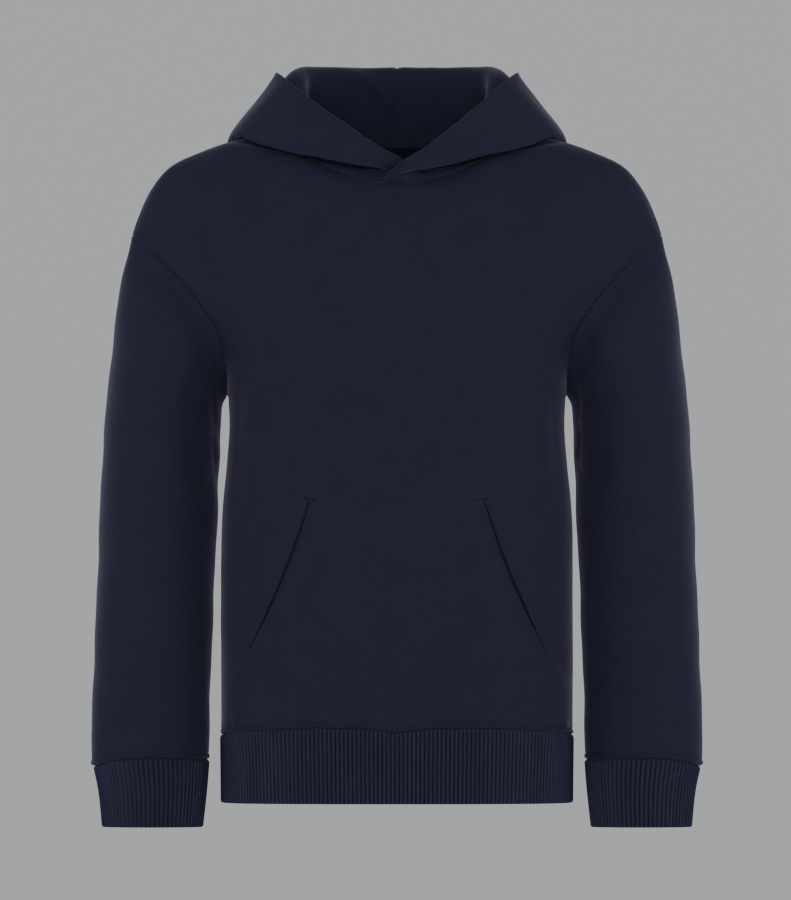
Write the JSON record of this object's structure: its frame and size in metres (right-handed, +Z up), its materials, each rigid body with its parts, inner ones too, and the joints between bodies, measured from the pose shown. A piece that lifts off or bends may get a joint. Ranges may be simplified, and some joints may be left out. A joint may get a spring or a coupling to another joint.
{
  "type": "toddler hoodie",
  "caption": "Plain navy fleece pullover hoodie for a toddler, filled out as worn, sleeves down, hood down, hidden front pocket with slanted slits, rib hem and cuffs.",
  "frame": {"origin": "middle of the neck, level with the high points of the shoulders, where the wearer's neck holds the garment up", "axes": "+Z up, the front faces -Y, +X is the wearer's left"},
  "size_m": [0.3784, 0.1997, 0.4718],
  "materials": {
    "navy_fleece": "matte brushed cotton fleece",
    "navy_rib": "matte ribbed knit",
    "navy_tape": "smooth woven tape"
  },
  "bodies": {
    "root": {"front": "navy_fleece", "back": "navy_fleece", "sleeve_left": "navy_fleece", "sleeve_right": "navy_fleece", "hood_left": "navy_fleece", "hood_right": "navy_fleece", "pocket_bag": "navy_fleece", "neck_tape": "navy_tape", "hem_rib": "navy_rib", "cuff_left": "navy_rib", "cuff_right": "navy_rib"}
  },
  "joints": []
}
